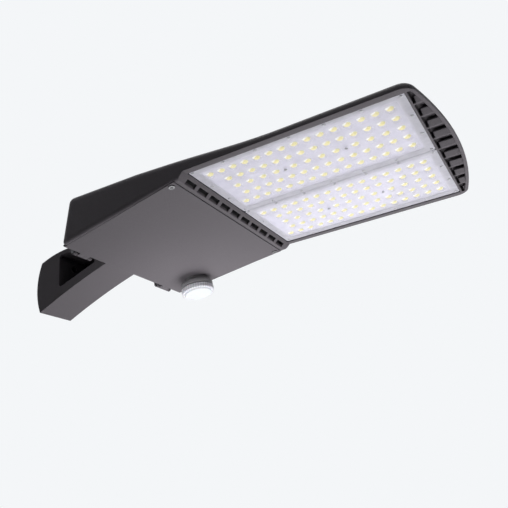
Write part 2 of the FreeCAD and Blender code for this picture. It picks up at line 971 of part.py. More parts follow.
def arm():
    body = new_body("arm_casting")
    solid = body_sketch(body, "arm_side", "XZ_Plane")
    arm_profile(solid, S.arm_gasket / cosine(S.rear_lean))
    pad(body, solid, S.arm_width, symmetric=True)
    inner = S.arm_width - S.arm_wall * 2
    web_front = S.web_x + S.web
    flange = (S.arm_gasket + S.arm_flange) / cosine(S.rear_lean)
    ceiling = S.arm_top - S.arm_roof
    floor_rear = underside(web_front.value) + S.arm_wall
    floor_front = S.arm_low_front + S.arm_wall
    chamber = body_sketch(body, "arm_chamber", "XZ_Plane")
    outline(chamber, [
        (web_front, floor_rear),
        (wall_x(floor_front) - flange, floor_front),
        (wall_x(ceiling) - flange, ceiling),
        (web_front, ceiling),
    ])
    pocket(body, chamber, inner, symmetric=True)
    socket = body_sketch(body, "arm_socket", "XZ_Plane")
    mouth = -S.end_bulge * 2
    outline(socket, [
        (mouth, S.end_low + S.arm_wall), (0, S.end_low + S.arm_wall),
        (S.web_x, underside(S.web_x.value) + S.arm_wall), (S.web_x, S.end_top - S.arm_wall),
        (mouth, S.end_top - S.arm_wall),
    ])
    pocket(body, socket, inner, symmetric=True)
    bosses = body_sketch(body, "pole_bosses", "YZ_Plane")
    for end in (-1, 1):
        circle(bosses, 0, end * S.pole_bolt_spacing / 2, S.pole_boss)
    pad(body, bosses, S.web_x + S.web / 2)
    holes = body_sketch(body, "pole_holes", "YZ_Plane")
    for end in (-1, 1):
        circle(holes, 0, end * S.pole_bolt_spacing / 2, S.pole_bolt_hole)
    circle(holes, S.arm_width / 4, 0, S.wire_hole)
    pocket(body, holes, web_front * 2, symmetric=True)
    window = body_sketch(body, "arm_window", "XZ_Plane", S.arm_width / 2)
    outline(window, window_corners(web_front, ceiling))
    pocket(body, window, S.arm_wall * 2)
    holes = arm_joint_holes("flange", 0, S.arm_gasket + S.arm_flange + S.arm_bolt_play,
                            S.arm_bolt + S.thread_play, S.wire_hole)
    keep(cut("pole_arm", body, fuse("flange_holes", holes)), "pole_arm")


def underside(x):
    """How high the arm's underside is at a distance from the pole."""
    start = Vector(0, S.end_low.value, 0)
    front = wall_x(S.arm_low_front) - S.arm_gasket / cosine(S.rear_lean)
    stop = Vector(front.value, S.arm_low_front.value, 0)
    arc, _ = arc_between(start, stop, -S.arm_low_radius.value)
    depth = math.sqrt(S.arm_low_radius.value ** 2 - (x - arc.Center.x) ** 2)
    return as_size(arc.Center.y + depth)


def window_corners(rear, top):
    """The access opening in the near cheek, wide at the pole end."""
    r = S.window_round
    front = S.window_front
    front_low = S.window_low + S.window_rise
    return [
        (rear, S.window_low + r), (rear + r, S.window_low, r),
        (front, front_low), (front + r, front_low + r, r), (front + r, top - r),
        (front, top, r), (rear + r, top), (rear, top - r, r),
    ]


# Flat drawings in the three working frames


def level(sketch, z):
    place(sketch, z=z)


def along_door(sketch, rise):
    door_place(sketch, rise=rise)


def along_wall(sketch, out):
    x, z = on_wall(as_size(0), as_size(out))
    place(sketch, x, 0, z, wall_turn())


def discs(name, frame, start, height, spots, diameter):
    """Round pieces standing on a frame, one at each spot."""
    sketch = doc.addObject("Sketcher::SketchObject", name)
    frame(sketch, start)
    for x, y in spots:
        circle(sketch, x, y, diameter)
    return extrude(sketch, height)


def hexes(name, frame, start, height, spots, flats):
    """Six-sided pieces standing on a frame, one at each spot."""
    sketch = doc.addObject("Sketcher::SketchObject", name)
    frame(sketch, start)
    for x, y in spots:
        outline(sketch, polygon(6, x, y, flats))
    return extrude(sketch, height)


def polygon(sides, x, y, flats):
    """Corners of a regular polygon with one corner on the x axis."""
    radius = flats / 2 / cosine(as_size(180 / sides))
    turns = [as_size(360 * number / sides) for number in range(sides)]
    return [(x + radius * cosine(turn), y + radius * sine(turn)) for turn in turns]


def screw_set(label, frame, seat, spots, head, head_height, shank, length):
    """Like screws with round heads under their seat and shanks above it."""
    heads = discs(f"{label}_heads", frame, seat - head_height, head_height, spots, head)
    shanks = discs(f"{label}_shanks", frame, seat, length, spots, shank)
    return fuse(label, [heads, shanks])


def small_screws(label, seat, spots, length):
    """Like small screws, eight-sided so that the many of them stay light."""
    pieces = []
    for number, (x, y) in enumerate(spots, 1):
        head = octagon(f"{label}_head_{number}", S.screw_head, S.screw_head_height)
        place(head, x, y, seat - S.screw_head_height)
        shank = octagon(f"{label}_shank_{number}", S.screw - S.thread_play, length)
        place(shank, x, y, seat)
        pieces += [head, shank]
    return fuse(label, pieces)


def octagon(name, across, height):
    solid = doc.addObject("Part::Prism", name)
    solid.Polygon = 8
    bind(solid, Circumradius=across / 2, Height=height)
    return solid


def span(side, near, far):
    """Low and high y of a stretch on one side of the middle."""
    return (near, far) if side > 0 else (-far, -near)


# Door


def driver_door():
    body = new_body("driver_door")
    front = door_length - S.groove
    skin = body_sketch(body, "door_outline", "XY_Plane")
    outline(skin, door_trapezoid(as_size(0), front, 0))
    pad(body, skin, S.door)
    round_edges(body, at_rear_underside, S.door_round)
    hollow = body_sketch(body, "door_hollow", "XY_Plane", S.door)
    outline(hollow, door_trapezoid(mouth_rear, mouth_front, S.ledge))
    pocket(body, hollow, S.door - S.door_skin)
    for side in (-1, 1):
        knuckle = body_sketch(body, f"door_knuckle_{side + 2}", "XZ_Plane", -side * S.hinge_y)
        outline(knuckle, knuckle_corners())
        pad(body, knuckle, S.knuckle, symmetric=True)
    bores = body_sketch(body, "knuckle_bores", "XZ_Plane")
    circle(bores, -S.hinge_back, S.hinge_rise, S.pin + S.pin_play)
    pocket(body, bores, (S.hinge_y + S.knuckle) * 2, symmetric=True)
    sinks = body_sketch(body, "latch_sinks", "XY_Plane")
    holes = body_sketch(body, "door_holes", "XY_Plane")
    for x, y in latch_spots():
        circle(sinks, x, y, S.latch_head + S.latch_play * 2)
        circle(holes, x, y, S.latch + S.latch_play)
    circle(holes, sensor_along, S.sensor_y, S.stem + S.stem_play * 2)
    pocket(body, sinks, S.latch_sink, reverse=True)
    pocket(body, holes, S.door * 3, symmetric=True)
    door_place(body)
    keep(body, "driver_door")


def at_rear_underside(edge):
    return all(math.hypot(corner.X, corner.Z) < S.seal_gap.value for corner in edge.Vertexes)


def knuckle_corners():
    """A hinge eye behind the door's rear edge and the web that carries it."""
    radius = S.knuckle_radius
    low = S.hinge_rise - radius
    top = S.hinge_rise + radius
    return [
        (S.door_round * 2, 0), (S.door_round * 2, S.door), (S.door_round, S.door), (-S.hinge_back, top),
        (-S.hinge_back - radius, S.hinge_rise, radius), (-S.hinge_back, low, radius),
        (0, low), (S.door_round, 0),
    ]


def latch_spots():
    along = door_length - S.groove - S.latch_inset
    reach = S.door_front_half - S.latch_edge
    return [(along, side * reach) for side in (-1, 1)]


def door_gasket():
    """The seal on the ledge around the driver space, inside the two front screws."""
    body = new_body("door_gasket")
    lip = S.gasket_lip
    wide = S.gasket_lip + S.gasket_width
    ring = body_sketch(body, "door_gasket_ring", "XY_Plane", S.door + S.seal_gap)
    outline(ring, door_trapezoid(mouth_rear - wide, mouth_front + wide, S.ledge - wide))
    outline(ring, door_trapezoid(mouth_rear - lip, mouth_front + lip, S.ledge - lip))
    pad(body, ring, S.gasket)
    door_place(body)
    keep(body, "door_gasket")


def door_screws():
    """Captive pan heads with a cross slot."""
    seat = S.latch_sink
    bare = screw_set("door_screw_set", along_door, seat, latch_spots(),
                     S.latch_head, S.latch_head_height, S.latch, S.latch_length)
    slots = []
    for x, y in latch_spots():
        for length, width in ((S.latch, S.latch_slot), (S.latch_slot, S.latch)):
            slot = doc.addObject("Part::Box", f"latch_slot_{len(slots) + 1}")
            bind(slot, Length=length, Width=width, Height=S.latch_slot * 2)
            door_place(slot, x - length / 2, y - width / 2, seat - S.latch_head_height - S.latch_slot)
            slots.append(slot)
    keep(cut("door_screws", bare, fuse("latch_slots", slots)), "door_screws")


def hinge_pins():
    """One headed pin through each knuckle, put in from the outer side."""
    pins = []
    reach = S.knuckle / 2 + S.lug_gap + S.lug
    for side in (-1, 1):
        shank = cylinder(f"pin_shank_{side + 2}", S.pin, reach * 2, 0, 0, 0)
        hinge_cylinder(shank, side * S.hinge_y - reach)
        head = cylinder(f"pin_head_{side + 2}", S.pin_head, S.pin_head_height, 0, 0, 0)
        outer = side * (S.hinge_y + reach)
        hinge_cylinder(head, outer if side > 0 else outer - S.pin_head_height)
        pins += [shank, head]
    keep(fuse("hinge_pins", pins), "hinge_pins")


# Motion sensor

sensor_along = (S.sensor_x - S.rear_x) / cosine(S.door_tilt)
ring_low = S.collar_height + S.ring_height
cap_top = ring_low + S.cap_gap
cap_low = cap_top + S.cap_height


def turned(label, corners):
    """A round piece of the sensor from its half section, in the door's frame."""
    body = new_body(label)
    section = body_sketch(body, f"{label}_section", "XZ_Plane")
    outline(section, corners)
    revolve(body, section)
    return body


def keep_sensor(body, label):
    door_place(body, sensor_along, S.sensor_y)
    keep(body, label)


def sensor():
    ring, collar, neck, stem = S.ring / 2, S.collar / 2, S.cap_neck / 2, S.stem / 2
    edge = S.sensor_edge
    base = turned("sensor_base", [
        (0, -cap_top), (neck, -cap_top), (neck, -ring_low), (ring - edge, -ring_low),
        (ring, -ring_low + edge), (ring, -S.collar_height - edge),
        (ring - edge, -S.collar_height), (collar, -S.collar_height),
        (collar, -S.sensor_seal), (stem, -S.sensor_seal), (stem, S.stem_length), (0, S.stem_length),
    ])
    keep_sensor(base, "sensor_base")
    cap, face = S.cap / 2, S.face / 2
    skirt = turned("sensor_cap", [
        (0, -cap_low), (cap - edge, -cap_low), (cap, -cap_low + edge), (cap, -cap_top), (0, -cap_top),
    ])
    flute = body_sketch(skirt, "cap_flute", "XY_Plane", -cap_low)
    outline(flute, [(cap - S.flute_depth, 0), (cap + S.flute_depth, -S.flute_depth * 2),
                    (cap + S.flute_depth, S.flute_depth * 2)])
    groove = pocket(skirt, flute, S.cap_height, reverse=True)
    flutes = skirt.newObject("PartDesign::PolarPattern", "cap_flutes")
    flutes.Originals = [groove]
    flutes.Axis = (flute, ["N_Axis"])
    flutes.Angle = 360
    bind(flutes, Occurrences=S.flute_count)
    skirt.Tip = flutes
    doc.recompute()
    keep_sensor(skirt, "sensor_cap")
    lens = turned("sensor_lens", [
        (0, -cap_low - S.face_height), (face - S.face_height, -cap_low - S.face_height),
        (face, -cap_low, S.face_height), (0, -cap_low),
    ])
    keep_sensor(lens, "sensor_lens")
    seal = new_body("sensor_gasket")
    washer = body_sketch(seal, "sensor_washer", "XY_Plane", -S.sensor_seal)
    circle(washer, 0, 0, S.collar - S.sensor_edge * 2)
    circle(washer, 0, 0, S.stem + S.stem_play * 2)
    pad(seal, washer, S.sensor_seal)
    keep_sensor(seal, "sensor_gasket")
    nut = new_body("sensor_nut")
    hexagon = body_sketch(nut, "nut_hexagon", "XY_Plane", S.door_skin)
    outline(hexagon, polygon(6, as_size(0), as_size(0), S.nut_flats))
    circle(hexagon, 0, 0, S.stem + S.thread_play)
    pad(nut, hexagon, S.nut)
    keep_sensor(nut, "sensor_nut")


# Lens modules


def panel_outline(side, inset):
    low, high = span(side, S.panel_gap + inset, S.panel_half - inset)
    return rounded_box(S.panel_x + inset, low, S.panel_x + S.panel_length - inset, high, S.panel_round)


def led_runs():
    """The runs of a module's LEDs: where they start, their pitch and how many each has."""
    last = S.led_x + S.led_pitch * (S.led_columns - 1)
    short = S.led_x + S.short_lead
    short_pitch = (last - short) / (S.short_columns - 1)
    return [
        ([(S.led_x, row_height(row)) for row in (0, 4)], S.led_pitch, S.led_columns),
        ([(short, row_height(row)) for row in (1, 3)], short_pitch, S.short_columns),
        ([(start, row_height(2)) for start in group_starts()], S.group_led_pitch, S.group_leds),
    ]


def group_starts():
    """First LED of each group in the middle row, which ends level with the long rows."""
    last = S.led_x + S.led_pitch * (S.led_columns - 1)
    final = last - S.group_led_pitch * (S.group_leds - 1)
    return [final - S.group_pitch * number for number in range(int(S.groups.value))]


def row_height(row):
    return S.row_y + S.row_pitch * row


def lens_plate(side, label):
    """A clear plate with one drafted lens under every LED."""
    body = new_body(label)
    sheet = body_sketch(body, f"{label}_sheet", "XY_Plane", S.lens_face)
    outline(sheet, panel_outline(side, as_size(0)))
    for x, y in screw_spots():
        circle(sheet, x, side * y, S.screw + S.screw_play)
    pad(body, sheet, S.lens)
    firsts = []
    for number, (spots, _, _) in enumerate(led_runs(), 1):
        first = body_sketch(body, f"{label}_lens_{number}", "XY_Plane", S.lens_face)
        for x, y in spots:
            outline(first, polygon(8, x, side * y, S.dome))
        firsts.append((first, pad(body, first, S.dome_height, reverse=True, draft=-S.dome_draft)))
    for (first, lens), (_, pitch, count) in zip(firsts, led_runs()):
        run = body.newObject("PartDesign::LinearPattern", f"{first.Name}_run")
        run.Originals = [lens]
        run.Refine = False
        run.Direction = (first, ["H_Axis"])
        bind(run, Length=pitch * (count - 1), Occurrences=count)
        body.Tip = run
    keep(body, label)


def lens_gasket(side, label):
    body = new_body(label)
    rest = S.lens_face + S.lens
    ring = body_sketch(body, f"{label}_ring", "XY_Plane", rest)
    outline(ring, panel_outline(side, S.seal_inset))
    outline(ring, panel_outline(side, S.board_inset - S.seal_inset))
    for x, y in edge_screw_spots():
        circle(ring, x, side * y, S.screw + S.screw_play)
    pad(body, ring, S.board_seat - rest)
    keep(body, label)


def led_board(side, label):
    body = new_body(label)
    sheet = body_sketch(body, f"{label}_sheet", "XY_Plane", S.board_seat - S.board)
    outline(sheet, panel_outline(side, S.board_inset))
    for x, y in inner_screw_spots():
        circle(sheet, x, side * y, S.screw + S.screw_play)
    pad(body, sheet, S.board)
    keep(body, label)


def leds(side, label):
    chips = []
    half = S.led_square / 2
    top = S.board_seat - S.board
    for spots, pitch, count in led_runs():
        for start, out in spots:
            y = side * out
            for number in range(int(count.value)):
                x = start + pitch * number
                chips.append(box(f"{label}_{len(chips) + 1}", (x - half, y - half, top - S.led_height),
                                 (x + half, y + half, top)))
    group = doc.addObject("Part::Compound", label)
    group.Links = chips
    keep(group, label)


def lens_screws():
    spots = [(x, side * y) for side in (-1, 1) for x, y in screw_spots()]
    length = S.board_seat + S.screw_grip - S.lens_face
    keep(small_screws("lens_screws", S.lens_face, spots, length), "lens_screws")


# Gear under the roof


def gear_screw_spots():
    """Two fixing feet for each box on the tray."""
    spots = []
    for x, y, width, length in ((S.driver_x, S.driver_y, S.driver_width, S.driver_length),
                                (S.surge_x, S.surge_y, S.surge_size, S.surge_length),
                                (S.block_x, S.block_y, S.block_width, S.block_length)):
        middle = x + width / 2
        spots += [(middle, y + S.foot / 2), (middle, y + length - S.foot / 2)]
    return spots


def gear_tray():
    body = new_body("gear_tray")
    sheet = body_sketch(body, "tray_sheet", "XY_Plane", S.tray_z)
    outline(sheet, rounded_box(S.tray_x, -S.tray_half, S.tray_x + S.tray_length, S.tray_half, S.panel_round))
    for x, y in tray_screw_spots() + gear_screw_spots():
        circle(sheet, x, y, S.screw + S.screw_play)
    pad(body, sheet, S.tray)
    keep(body, "gear_tray")


def gear_box(label, x, y, width, length, height, wells=()):
    """A box hung under the tray on two feet."""
    low, top = S.tray_z - height, S.tray_z
    case = box(f"{label}_case", (x, y + S.foot, low), (x + width, y + length - S.foot, top))
    feet = box(f"{label}_feet", (x, y, top - S.foot_thick), (x + width, y + length, top))
    holes = [cylinder(f"{label}_hole_{number}", S.screw + S.screw_play, S.foot_thick * 2,
                      x + width / 2, spot, top - S.foot_thick * 3 / 2)
             for number, spot in enumerate((y + S.foot / 2, y + length - S.foot / 2), 1)]
    solid = fuse(f"{label}_solid", [case, feet])
    keep(cut(label, solid, fuse(f"{label}_holes", holes + list(wells))), label)


def gear():
    gear_tray()
    gear_box("led_driver", S.driver_x, S.driver_y, S.driver_width, S.driver_length, S.driver_height)
    gear_box("surge_protector", S.surge_x, S.surge_y, S.surge_size, S.surge_length, S.surge_height)
    ways = int(S.block_ways.value)
    pitch = (S.block_length - S.foot * 2) / ways
    middle = S.block_x + S.block_width / 2
    wells = [cylinder(f"block_well_{number + 1}", S.block_well, S.block_height / 2, middle,
                      S.block_y + S.foot + pitch * (number + 0.5), S.tray_z - S.block_height)
             for number in range(ways)]
    gear_box("terminal_block", S.block_x, S.block_y, S.block_width, S.block_length, S.block_height, wells)
    keep(small_screws("gear_screws", S.tray_z - S.foot_thick, gear_screw_spots(), S.foot_thick + S.tray),
         "gear_screws")
    keep(small_screws("tray_screws", S.tray_z, tray_screw_spots(), S.tray + S.screw_grip), "tray_screws")


# Arm joint


def arm_joint():
    lean = cosine(S.rear_lean)
    low = (S.arm_low_front - S.arm_joint_z) / lean + S.arm_gasket
    high = (S.arm_top - S.arm_joint_z) / lean - S.arm_gasket
    half = S.arm_width / 2 - S.arm_gasket
    seal = doc.addObject("Sketcher::SketchObject", "arm_gasket_sheet")
    along_wall(seal, 0)
    outline(seal, rounded_box(low, -half, high, half, S.panel_round))
    for up, y in arm_bolt_spots():
        circle(seal, up, y, S.arm_bolt + S.arm_bolt_play)
    circle(seal, 0, 0, S.wire_hole)
    keep(extrude(seal, S.arm_gasket), "arm_gasket")
    inside = -S.rear_wall * lean
    rings = doc.addObject("Sketcher::SketchObject", "arm_washer_rings")
    along_wall(rings, inside - S.washer_thick)
    for up, y in arm_bolt_spots():
        circle(rings, up, y, S.washer)
        circle(rings, up, y, S.arm_bolt + S.arm_bolt_play)
    keep(extrude(rings, S.washer_thick), "arm_washers")
    seat = inside - S.washer_thick
    heads = hexes("arm_bolt_heads", along_wall, seat - S.bolt_head_height, S.bolt_head_height,
                  arm_bolt_spots(), S.bolt_head)
    shanks = discs("arm_bolt_shanks", along_wall, seat, S.arm_gasket + S.arm_flange - seat,
                   arm_bolt_spots(), S.arm_bolt)
    keep(fuse("arm_bolts", [heads, shanks]), "arm_bolts")
    spot = [(0, 0)]
    flange = discs("grommet_flange", along_wall, inside - S.grommet_flange, S.grommet_flange, spot,
                   S.wire_hole + S.grommet_flange * 2)
    sleeve = discs("grommet_sleeve", along_wall, inside, S.arm_gasket - inside, spot,
                   S.wire_hole - S.screw_play)
    bore = discs("grommet_way", along_wall, inside - S.grommet_flange * 2, S.wire_hole * 2, spot,
                 S.grommet_bore)
    keep(cut("wire_grommet", fuse("grommet_solid", [flange, sleeve]), bore), "wire_grommet")


# Document order


def check_and_write():
    doc.recompute()
    for item in doc.Objects:
        if {"Invalid", "Error"} & set(item.State):
            raise RuntimeError(f"{item.Label} failed: {item.State}")
    os.makedirs("parts", exist_ok=True)
    for item in SUBPARTS:
        if item.Shape.isNull() or not item.Shape.isValid():
            raise RuntimeError(f"{item.Label} has no valid shape")
        item.Shape.exportStep(f"parts/{item.Label}.step")
        print(f"{item.Label}: {item.Shape.Volume / 1000:.1f} cm3, {len(item.Shape.Solids)} solids")


housing()
arm()
driver_door()
door_gasket()
door_screws()
hinge_pins()
sensor()
for side, place_name in ((-1, "near"), (1, "far")):
    lens_plate(side, f"lens_plate_{place_name}")
    lens_gasket(side, f"lens_gasket_{place_name}")
    led_board(side, f"led_board_{place_name}")
    leds(side, f"leds_{place_name}")
lens_screws()
gear()
arm_joint()
check_and_write()
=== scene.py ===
import json
import math

import bmesh
import bpy
from mathutils import Matrix, Vector

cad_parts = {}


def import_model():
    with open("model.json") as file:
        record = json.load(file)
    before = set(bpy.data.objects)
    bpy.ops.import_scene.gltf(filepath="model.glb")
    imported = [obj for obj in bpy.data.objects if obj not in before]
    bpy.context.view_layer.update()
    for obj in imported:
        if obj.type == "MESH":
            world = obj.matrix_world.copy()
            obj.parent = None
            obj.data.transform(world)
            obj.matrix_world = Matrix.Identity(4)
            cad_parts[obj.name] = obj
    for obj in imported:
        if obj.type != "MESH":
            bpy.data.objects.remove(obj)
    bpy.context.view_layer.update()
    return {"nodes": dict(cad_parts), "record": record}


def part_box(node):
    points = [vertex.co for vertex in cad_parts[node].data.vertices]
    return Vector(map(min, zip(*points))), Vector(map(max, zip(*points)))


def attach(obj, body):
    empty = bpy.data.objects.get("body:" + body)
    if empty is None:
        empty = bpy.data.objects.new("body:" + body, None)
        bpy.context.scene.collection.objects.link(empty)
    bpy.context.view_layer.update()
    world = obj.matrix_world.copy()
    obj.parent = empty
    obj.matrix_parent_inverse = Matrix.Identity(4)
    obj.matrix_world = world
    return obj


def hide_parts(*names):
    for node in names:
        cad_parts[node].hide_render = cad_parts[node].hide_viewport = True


MM = 0.001
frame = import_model()
NODES = frame["nodes"]
SIDES = ("near", "far")


def middle(points):
    """The middle of the box round some points."""
    low = Vector(min(point[axis] for point in points) for axis in range(3))
    high = Vector(max(point[axis] for point in points) for axis in range(3))
    return (low + high) / 2


# Camera, solved from the grid of lenses: in metres, with its lens and sensor in millimetres
CAMERA_PLACE = Vector((0.8223, -0.78105, -0.3985))
CAMERA_RIGHT = Vector((0.86911, 0.48716, -0.08556))
CAMERA_FORWARD = Vector((-0.42617, 0.82536, 0.37035))
CAMERA_LENS = 43.38
CAMERA_SENSOR = 36.0
CAMERA_NEAR = 0.01

# Stage, in metres: the floor's glow rises from its near circle to its rim
FLOOR_CENTRE = (0.4, 0, -1.0)
FLOOR_SIDE = 8.0
FLOOR_NEAR = 1.0
FLOOR_GLOW = 0.55
FLOOR_RIM_GLOW = 0.93
BACKDROP = (0.905, 0.922, 0.939)
SOFT_LIGHT = 0.05

# Coat: its colour, the softness of its edges, and the broad corners of the rear casting
COAT_DARK = (0.121, 0.110, 0.122)
COAT_LIGHT = (0.154, 0.141, 0.156)
COAT_EDGE = 2.0 * MM
CAST_CORNER = 8.0 * MM
CAST_CORNER_X = 330 * MM
CAST_BLEND = 40 * MM

# Painted shade in the casting's slots: how far a wall shelters, how dark the painted shade gets, and
# how little of it in the nose
SLOT_REACH = 14 * MM
SLOT_PAINTED_SHADE = (0.03, 0.03, 0.03)
SLOT_OPEN = (1, 1, 1)
SLOT_START = 0.30
SLOT_STOP = 0.78
NOSE_X = 717 * MM
NOSE_BLEND = 5 * MM
NOSE_SHADE_SHARE = 0.15

# Other surfaces: how far the roughness varies, and what the clear plates and their cores share,
# among it the painted glow of the cores
GLOSS_SPREAD = 0.06
METAL_GLOSS_SPREAD = 0.08
MOULD_EDGE = 0.3 * MM
MOULD_GRAIN = 700
MOULD_BUMP = 0.2
MOULD_HEIGHT = 0.05 * MM
POLYCARBONATE_IOR = 1.58
# Painted glow: the lens cores and glints emit this share of their own colour, though they are no
# lamp
PAINTED_GLOW = 0.55

# Lens plates, with a dome at every LED, and in it a core painted as the enlarged LED and a glint
# that is a painted highlight
FOOT_RADIUS = 8.3 * MM
DOME_RADIUS = 5.5 * MM
DOME_HEIGHT = 4.0 * MM
DOME_TURNS = 28
DOME_RINGS = 7
CORE_RADIUS = 5.0 * MM
CORE_TOP = 1.9 * MM
CORE_PLACE = Vector((-0.4, -1.6, 0)) * MM
CORE_DEPTH = 2.8 * MM
# The glint is a painted highlight, set up and to one side of the core
GLINT_RADIUS = 4.2 * MM
GLINT_PLACE = Vector((-1.9, -3.6, 0)) * MM
GLINT_DEPTH = 2.1 * MM
PLATE = 2.0 * MM
PLATE_CORNER = 4.0 * MM
PLATE_BEVEL = 0.15 * MM
PLATE_RIM = 12.0 * MM
PLATE_STEP = 0.3 * MM
CORNER_STEPS = 8
SMALL_TURNS = DOME_TURNS // 2

# LEDs
PACKAGE_HALF = 2.5 * MM
PACKAGE_HEIGHT = 0.7 * MM
PACKAGE_CORNER = PACKAGE_HALF / 5
PACKAGE_BEVEL = PLATE_BEVEL / 4
PHOSPHOR_RADIUS = 1.6 * MM
PHOSPHOR_RINGS = 4
PHOSPHOR_SINK = PACKAGE_HEIGHT / 4

# Lens screws: the crown and the shoulder are shares of the head's radius and height
SCREW_HEAD = 2.2 * MM
SCREW_HEAD_HEIGHT = 1.6 * MM
SCREW_SHANK = 1.45 * MM
SCREW_SOCKET = 1.1 * MM
SCREW_SOCKET_DEPTH = 0.35 * MM
SCREW_CROWN = (0.7, 0.92)
SCREW_SHOULDER = (0.93, 0.6)

# Finding the solids of a node: corners this level are on its lowest plane, this near on one solid
LEVEL = 0.01 * MM
LED_REACH = PACKAGE_HALF * 3
SCREW_REACH = SCREW_HEAD * 3

# Sensor
SENSOR_HUB = middle(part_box("sensor_cap"))
SENSOR_FLUTES = 40


# Materials


class Look:
    """A node material with one Principled shader, and the textures that drive it."""

    def __init__(self, name, **constants):
        self.material = bpy.data.materials.new(name)
        self.material.use_nodes = True
        self.tree = self.material.node_tree
        self.shader = self.tree.nodes["Principled BSDF"]
        for socket, value in constants.items():
            self.shader.inputs[socket.replace("_", " ")].default_value = value
        self.normal = None

    def node(self, kind, **settings):
        """A new node with its settings."""
        item = self.tree.nodes.new(kind)
        for name, value in settings.items():
            setattr(item, name, value)
        return item

    def link(self, source, target):
        """A link from an output to an input."""
        self.tree.links.new(source, target)

    def drive(self, socket, source):
        """Lets an output set one socket of the shader."""
        self.link(source, self.shader.inputs[socket])
        return self

    def place(self):
        """Object coordinates, in metres."""
        return self.node("ShaderNodeTexCoord").outputs["Object"]

    def along(self):
        """Object X, in metres."""
        parts = self.node("ShaderNodeSeparateXYZ")
        self.link(self.place(), parts.inputs["Vector"])
        return parts.outputs["X"]

    def noise(self, scale, detail=3.0, stretch=(1, 1, 1)):
        """A noise between 0 and 1, finer along the axes that are stretched more."""
        mapping = self.node("ShaderNodeMapping")
        mapping.inputs["Scale"].default_value = stretch
        texture = self.node("ShaderNodeTexNoise")
        texture.inputs["Scale"].default_value = scale
        texture.inputs["Detail"].default_value = detail
        self.link(self.place(), mapping.inputs["Vector"])
        self.link(mapping.outputs["Vector"], texture.inputs["Vector"])
        return texture.outputs["Fac"]

    def ramp(self, value, low, high, start=0.35, stop=0.65):
        """A colour that goes from one to another while a value goes from start to stop."""
        ramp = self.node("ShaderNodeValToRGB")
        ramp.color_ramp.elements[0].position = start
        ramp.color_ramp.elements[1].position = stop
        ramp.color_ramp.elements[0].color = (*low, 1)
        ramp.color_ramp.elements[1].color = (*high, 1)
        self.link(value, ramp.inputs["Fac"])
        return ramp.outputs["Color"]

    def span(self, value, low, high, start=0.0, stop=1.0):
        """A number that goes from low to high while a value goes from start to stop."""
        span = self.node("ShaderNodeMapRange")
        limits = {"From Min": start, "From Max": stop, "To Min": low, "To Max": high}
        for socket, number in limits.items():
            span.inputs[socket].default_value = number
        self.link(value, span.inputs["Value"])
        return span.outputs["Result"]

    def colour(self, value, low, high):
        """A base colour between two."""
        return self.drive("Base Color", self.ramp(value, low, high))

    def roughness(self, value, low, high):
        """A roughness between two."""
        return self.drive("Roughness", self.span(value, low, high))

    def soft_edges(self, radius):
        """Edges shaded as if they were rounded."""
        bevel = self.node("ShaderNodeBevel", samples=4)
        bevel.inputs["Radius"].default_value = radius
        self.normal = bevel.outputs["Normal"]
        return self.drive("Normal", self.normal)

    def bump(self, value, strength, height):
        """A relief of some height, on top of any soft edges."""
        bump = self.node("ShaderNodeBump")
        bump.inputs["Strength"].default_value = strength
        bump.inputs["Distance"].default_value = height
        self.link(value, bump.inputs["Height"])
        if self.normal:
            self.link(self.normal, bump.inputs["Normal"])
        return self.drive("Normal", bump.outputs["Normal"])

    def see_through(self, cover):
        """How much of what is behind stays covered, with light let through unhindered."""
        rays = self.node("ShaderNodeLightPath")
        unshaded = self.node("ShaderNodeMath", operation="SUBTRACT")
        unshaded.inputs[0].default_value = 1.0
        self.link(rays.outputs["Is Shadow Ray"], unshaded.inputs[1])
        alpha = self.node("ShaderNodeMath", operation="MULTIPLY")
        self.link(cover, alpha.inputs[0])
        self.link(unshaded.outputs[0], alpha.inputs[1])
        return self.drive("Alpha", alpha.outputs[0])


def powder_coat(name, with_slot_shade=True, cast_corners=False):
    """Fine-textured coat, which may have painted shade in its slots and broad corners at the rear.
    """
    look = Look(name, Specular_IOR_Level=0.12)
    grain = look.noise(scale=1300, detail=4)
    colour = look.ramp(grain, COAT_DARK, COAT_LIGHT)
    if with_slot_shade:
        colour = painted_slot_shade(look, colour)
    look.drive("Base Color", colour)
    look.roughness(look.noise(scale=420), low=0.45, high=0.65)
    look.soft_edges(COAT_EDGE)
    if cast_corners:
        corner = look.span(look.along(), CAST_CORNER, COAT_EDGE,
                           CAST_CORNER_X, CAST_CORNER_X + CAST_BLEND)
        look.link(corner, look.normal.node.inputs["Radius"])
    return look.bump(grain, strength=0.25, height=0.15 * MM).material


def painted_slot_shade(look, colour):
    """A colour with painted shade deep in a slot, though less so in the open bays of the nose."""
    # Painted shade: ambient occlusion darkens the colour where the walls of a slot stand close
    shelter = look.node("ShaderNodeAmbientOcclusion", samples=8)
    shelter.inputs["Distance"].default_value = SLOT_REACH
    look.link(colour, shelter.inputs["Color"])
    shade = look.ramp(shelter.outputs["AO"], SLOT_PAINTED_SHADE, SLOT_OPEN, SLOT_START, SLOT_STOP)
    depth = look.node("ShaderNodeMix", data_type="RGBA", blend_type="MULTIPLY")
    depth.inputs["Factor"].default_value = 1.0
    look.link(shade, depth.inputs["A"])
    look.link(shelter.outputs["Color"], depth.inputs["B"])
    share = look.span(look.along(), 1.0, NOSE_SHADE_SHARE, NOSE_X, NOSE_X + NOSE_BLEND)
    blend = look.node("ShaderNodeMix", data_type="RGBA")
    look.link(share, blend.inputs["Factor"])
    look.link(colour, blend.inputs["A"])
    look.link(depth.outputs["Result"], blend.inputs["B"])
    return blend.outputs["Result"]


def clear_plastic(name, dark, light, specular, haze_scale, cover, gloss_scale, gloss):
    """Moulded polycarbonate, with a haze that covers a part of what is behind it."""
    look = Look(name, Specular_IOR_Level=specular, IOR=POLYCARBONATE_IOR)
    haze = look.noise(haze_scale)
    look.colour(haze, dark, light).see_through(look.span(haze, *cover))
    return look.roughness(look.noise(gloss_scale), *gloss).material


